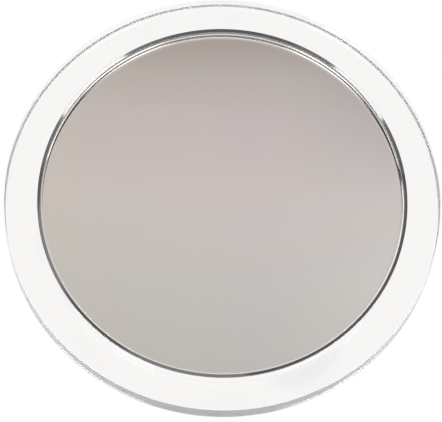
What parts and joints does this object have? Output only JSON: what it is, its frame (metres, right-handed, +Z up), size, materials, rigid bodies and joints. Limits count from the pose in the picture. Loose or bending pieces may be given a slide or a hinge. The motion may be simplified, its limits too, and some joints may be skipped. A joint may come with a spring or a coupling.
{
  "type": "suction cup magnifying mirror",
  "caption": "Round concave magnifying mirror set in a wide clear acrylic ring, with suction cups behind its tray to hold it on a smooth wall.",
  "frame": {"origin": "on the mirror's axis, in the plane of the wall that the suction cups' lips touch", "axes": "+Z up, +Y into the wall along the mirror's axis, so the mirror faces -Y; +X to the right as the viewer looks into the mirror"},
  "size_m": [0.152, 0.0414, 0.152],
  "materials": {
    "clear_acrylic": "polished",
    "silvered_glass": "polished",
    "black_rubber": "matte",
    "grey_foam": "matte",
    "grey_plastic": "satin",
    "clear_silicone": "satin",
    "clear_vinyl": "gloss",
    "plated_steel": "satin"
  },
  "bodies": {
    "suction_cups": {"suction_cup_1": "clear_vinyl", "suction_cup_2": "clear_vinyl", "suction_cup_3": "clear_vinyl"},
    "mirror_head": {"acrylic_ring": "clear_acrylic", "mirror_glass": "silvered_glass", "rim_gasket": "black_rubber", "foam_pad": "grey_foam", "rear_tray": "grey_plastic", "adhesive_bead": "clear_silicone", "stud_1": "plated_steel", "stud_2": "plated_steel", "stud_3": "plated_steel", "washer_1": "plated_steel", "washer_2": "plated_steel", "washer_3": "plated_steel", "nut_1": "plated_steel", "nut_2": "plated_steel", "nut_3": "plated_steel"}
  },
  "joints": [
    {"name": "press_travel", "type": "slide", "parent": "suction_cups", "child": "mirror_head", "axis": [0, 1, 0], "range_m": [0, 0.005], "stiffness_N_per_m": 1500, "deforming": ["suction_cup_1", "suction_cup_2", "suction_cup_3"]}
  ]
}
